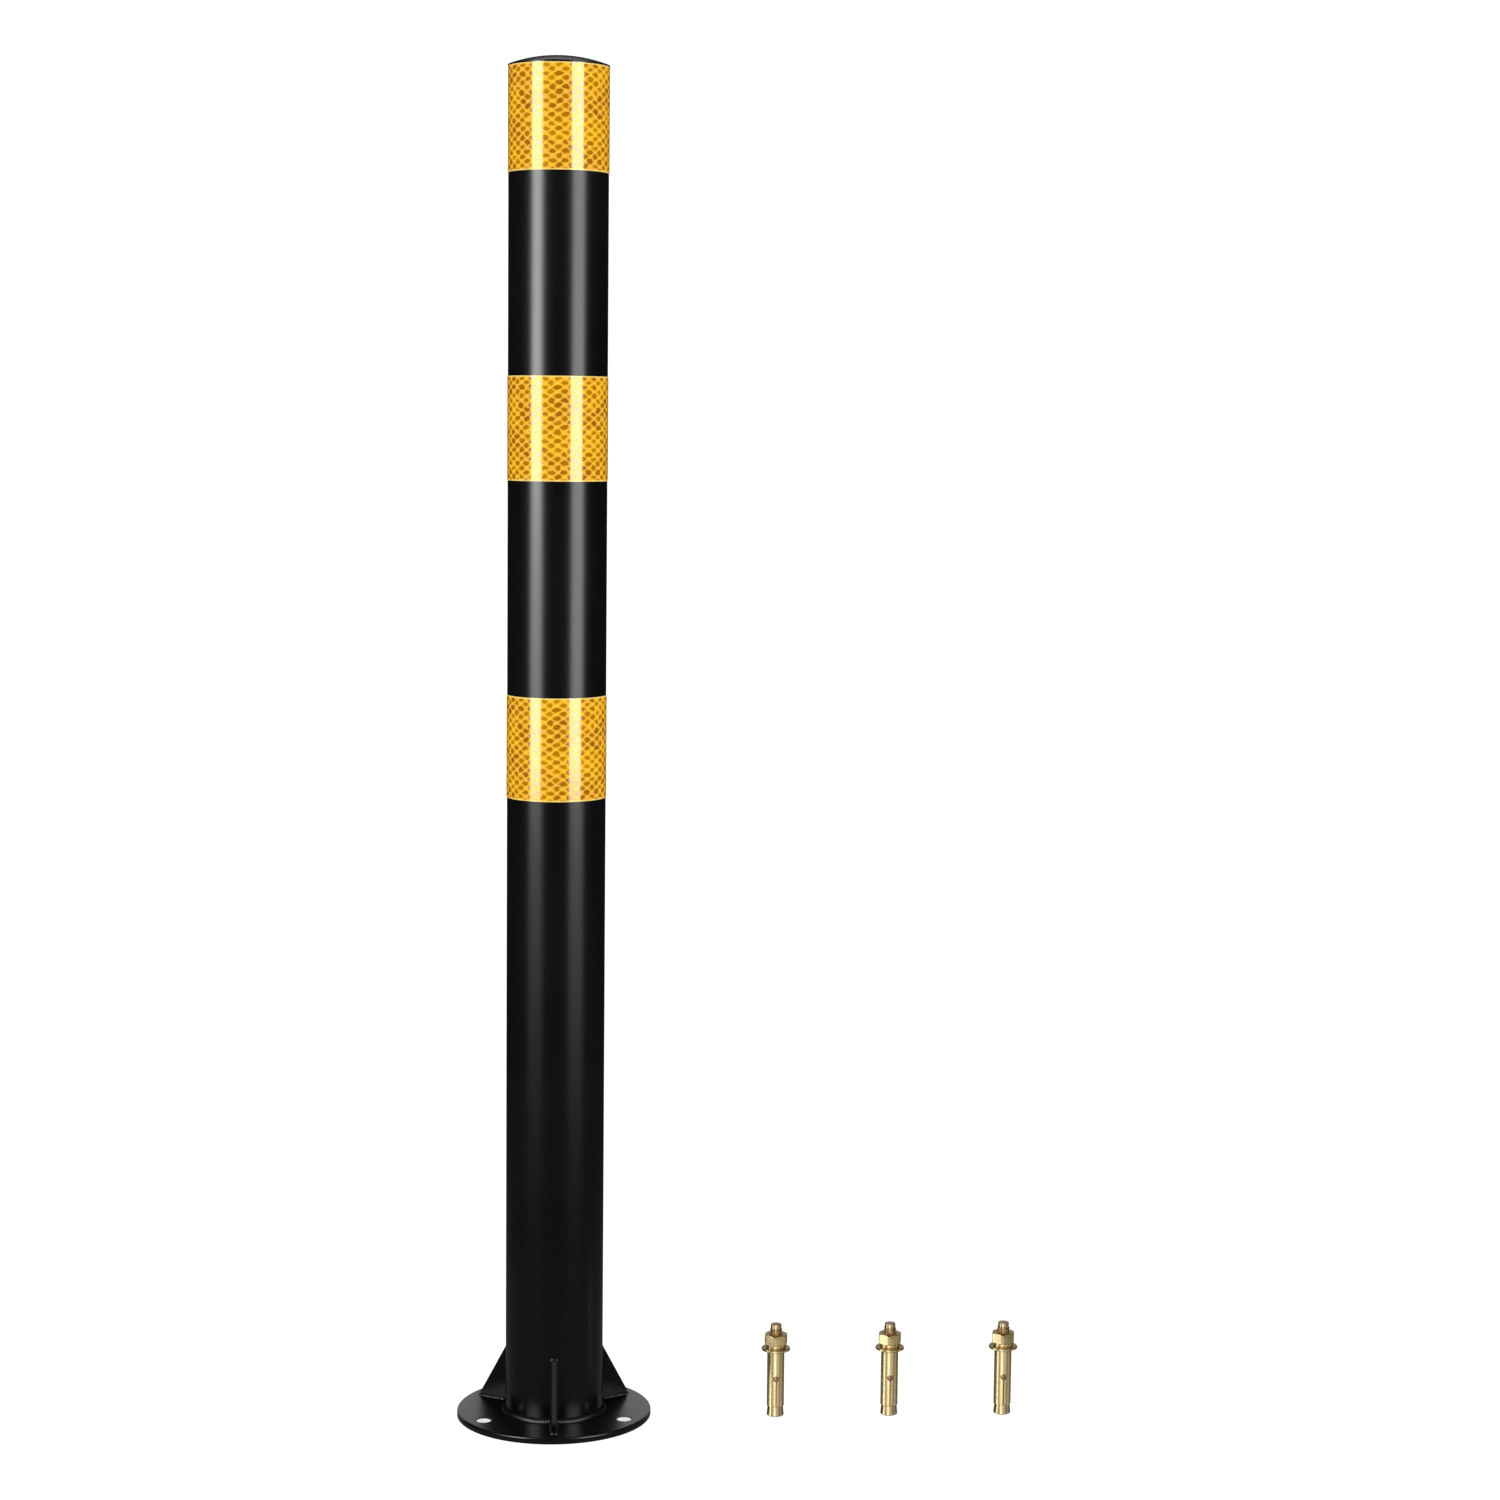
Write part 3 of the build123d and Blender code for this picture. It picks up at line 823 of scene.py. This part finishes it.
def nut_piece(name, centre):
    """Hexagon nut. At turn a its side is half the width across flats over cos of the angle from the flat's middle,
    eased under the corners' limit by side * (1 + (side / limit)^p)^(-1/p). The corners' chamfer rises by tan 30 of the
    radius past the flats' own."""
    low, high = box_of(f"{name}_hex_nut")
    foot, height = low[2], high[2] - low[2]
    half, bore, corner, power = 8.5 * MM, running_bore, radians(-99.8), 60
    t = np.linspace(0, 6, 6 * 22 + 1)
    turn = corner + pi / 3 * (t - 0.8 * np.sin(2 * pi * t) / (2 * pi))
    off = (turn - corner) % (pi / 3) - pi / 6
    side, limit = half / np.cos(off), 9.68 * MM
    side = side * (1 + (side / limit) ** power) ** (-1 / power)
    flat = half - 0.45 * MM
    rise = (side - flat) * tan(radians(30))
    one = np.ones_like(turn)
    radii = [bore * one, bore * one, (bore + 0.6 * MM) * one, flat * one, side]
    heights = [height / 2 * one, 0.6 * MM * one, 0 * one, 0 * one, rise]
    radius = np.stack(radii + radii[::-1])
    level = np.stack(heights + [height - row for row in heights[::-1]])
    shell = Shell().grid(around(radius, foot + level, turn, centre), turn * half, (level + 0.4 * (half - radius)))
    shell.piece(
        f"{name}_nut", f"{name}_hex_nut", f"{name}_nut", "yellow_zinc", zinc_nut, crease=24, bevel=0.16 * MM
    )


post_pieces()
plate_piece()
gusset_pieces()
tape_pieces()
anchor_names = [f"anchor_{number}" for number in (1, 2, 3)]
for name in anchor_names:
    low, high = box_of(f"{name}_stud")
    centre = ((low + high) / 2)[:2]
    stud_piece(name, centre)
    sleeve_piece(name, centre)
    washer_pieces(name, centre)
    nut_piece(name, centre)


# ---------------------------------------------------------------- floor, light and camera
def floor_piece():
    """Pale seamless floor: a wide disc of rings whose radii grow by a constant ratio."""
    turn = np.linspace(0, 2 * pi, 65)
    radius = np.concatenate([[0.0], np.geomspace(0.5, 60, 14)])[:, None]
    points = around(radius, -0.02 * MM, turn)
    paper = Finish("pale_floor_paper", Roughness=0.9, Specular_IOR_Level=0.1, Emission_Strength=0.88)
    fleck = paper.noise(paper.coordinate("Object"), 40.0, 3.0)
    colour = paper.blend(fleck, (0.19, 0.19, 0.19), (0.23, 0.23, 0.23))
    paper.surface(Base_Color=colour, Emission_Color=(1.0, 1.0, 1.0))
    rows, columns = points.shape[:2]
    index = np.arange(rows * columns).reshape(rows, columns)
    corners = (index[:-1, :-1], index[1:, :-1], index[1:, 1:], index[:-1, 1:])
    mesh = bpy.data.meshes.new("floor")
    mesh.from_pydata(points.reshape(-1, 3), [], np.stack(corners, -1).reshape(-1, 4))
    mesh.materials.append(paper.material)
    floor = bpy.data.objects.new("floor", mesh)
    bpy.context.scene.collection.objects.link(floor)
    floor.visible_glossy = floor.visible_shadow = False
    floor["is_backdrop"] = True


def softbox(name, turn, distance, low, high, width, radiance, aim=(0.0, 0.0), only=None):
    """Upright rectangular light that faces the aim, its power being radiance x pi x area. It gives no diffuse light,
    and with only it lights just that collection's pieces."""
    light = bpy.data.lights.new(name, "AREA")
    light.shape, light.size, light.size_y = "RECTANGLE", width, high - low
    light.energy = radiance * pi * width * (high - low)
    made = bpy.data.objects.new(name, light)
    bpy.context.scene.collection.objects.link(made)
    out = np.array([cos(turn), sin(turn), 0.0])
    at = np.array([*aim, 0.0]) + out * distance + [0, 0, (low + high) / 2]
    across = np.array([-out[1], out[0], 0.0])
    up = np.array([0.0, 0.0, 1.0])
    made.matrix_world = Matrix(np.vstack([np.stack([across, up, out, at], 1), [0, 0, 0, 1]]).tolist())
    made.visible_diffuse = False
    if only:
        made.light_linking.receiver_collection = only


def group(name, words, without="none"):
    """A collection of the pieces whose names hold one of the words and not the one left out, to keep a light to."""
    made = bpy.data.collections.new(name)
    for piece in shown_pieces():
        if without not in piece.name and any(word in piece.name for word in words):
            made.objects.link(piece)
    return made


def studio():
    """White surroundings for the eye and for diffuse light; gloss sees a dark room with a dim floor. The black coat's
    softboxes come in steps, the wider ones reaching lower, so that its highlights fade out sideways and downwards."""
    world = bpy.data.worlds.new("studio")
    world.use_nodes = True
    bpy.context.scene.world = world
    room = Recipe(world.node_tree)
    _, _, z = room.parts(room.coordinate("Generated"))
    gloss = room.blend(z.ease(-0.22, -0.36), (0.002, 0.002, 0.002), (0.16, 0.16, 0.16))
    path = room.node("ShaderNodeLightPath").socket.node.outputs
    seen = room.blend(Field(room, path["Is Glossy Ray"]), (1.12, 1.12, 1.12), gloss)
    back = world.node_tree.nodes["Background"]
    room.feed(back.inputs["Color"], seen)

    coated = group("coated_pieces", ("round_post", "domed_cap", "foot", "beads"))
    left, right, head = FRONT - radians(49), FRONT + radians(47), 2.2  # head: the softboxes' upper edges
    steps = (("wide", 1.56, 1.0, 0.0, 0.66, 1.02), ("middle", 1.53, 0.75, 0.35, 5.1, 4.72))
    for step, distance, width, low, on_left, on_right in steps:
        softbox(f"left_{step}_softbox", left, distance, low, head, width, on_left, only=coated)
        softbox(f"right_{step}_softbox", right, distance, low, head, width, on_right, only=coated)
    softbox("left_narrow_softbox", left, 1.5, 0.65, head, 0.5, 4.75, only=coated)
    upright_pieces = group("upright_pieces", ("round_post", "gusset", "foot_weld", "tape"))
    softbox("back_softbox", BACK, 1.8, 0.3, head, 0.5, 2.0, only=upright_pieces)

    tapes = group("tapes", ("tape",))
    softbox("left_tape_softbox", FRONT - radians(49.3), 1.5, 0.3, head, 0.70, 13.5, only=tapes)
    softbox("right_tape_softbox", FRONT + radians(42.9), 1.5, 0.3, head, 0.76, 13.5, only=tapes)

    cap = group("cap", ("domed_cap",))
    softbox("cap_back_card", BACK, 1.5, 1.85, 2.4, 5.0, 0.65, only=cap)
    plate = group("foot_plate", ("round_foot_plate",))
    softbox("plate_left_card", BACK, 0.12, 0.0, 0.12, 0.16, 0.68, (-0.14, 0.0), plate)
    softbox("plate_right_card", BACK, 0.12, 0.0, 0.12, 0.16, 0.68, (0.135, 0.0), plate)
    gussets = group("gussets", ("gusset",), without="beads")
    softbox("gusset_front_card", FRONT, 1.5, 0.9, 1.9, 1.2, 0.7, only=gussets)

    anchors = group("anchor_pieces", ("anchor_",))
    row = (0.264, -0.01)
    softbox("anchor_fill", FRONT, 1.3, -1.0, 1.0, 2.8, 0.45, row, anchors)
    softbox("anchor_left_fill", FRONT - radians(78), 1.3, -1.0, 1.0, 0.9, 0.35, row, anchors)
    softbox("anchor_right_fill", FRONT + radians(80), 1.3, -1.0, 1.0, 0.8, 0.3, row, anchors)
    softbox("anchor_left_strip", FRONT - radians(78), 1.2, -1.0, 1.0, 0.34, 1.6, row, anchors)
    softbox("anchor_front_strip", FRONT - radians(16), 1.2, -1.0, 1.0, 0.5, 1.0, row, anchors)
    softbox("anchor_back_fill", BACK, 1.3, 0.1, 1.8, 2.4, 0.25, row, anchors)


def camera():
    """A standing viewpoint in front of the post, turned a little to the right and down."""
    yaw, pitch, roll = radians(3.711), radians(6.092), radians(0.603)
    ahead = np.array([sin(yaw) * cos(pitch), cos(yaw) * cos(pitch), -sin(pitch)])
    right = np.cross(ahead, [0, 0, 1])
    right /= np.linalg.norm(right)
    up = np.cross(right, ahead)
    right, up = cos(roll) * right + sin(roll) * up, cos(roll) * up - sin(roll) * right
    at = np.array([-0.0038, -2.3601, 0.7783])
    lens = bpy.data.cameras.new("camera")
    lens.lens, lens.sensor_width = 73.84, 36.0
    lens.clip_start, lens.clip_end = 0.05, 200.0
    made = bpy.data.objects.new("camera", lens)
    bpy.context.scene.collection.objects.link(made)
    made.matrix_world = Matrix(np.vstack([np.stack([right, up, -ahead, at], 1), [0, 0, 0, 1]]).tolist())
    bpy.context.scene.camera = made


floor_piece()
studio()
camera()
bpy.context.scene.view_settings.view_transform = "Standard"
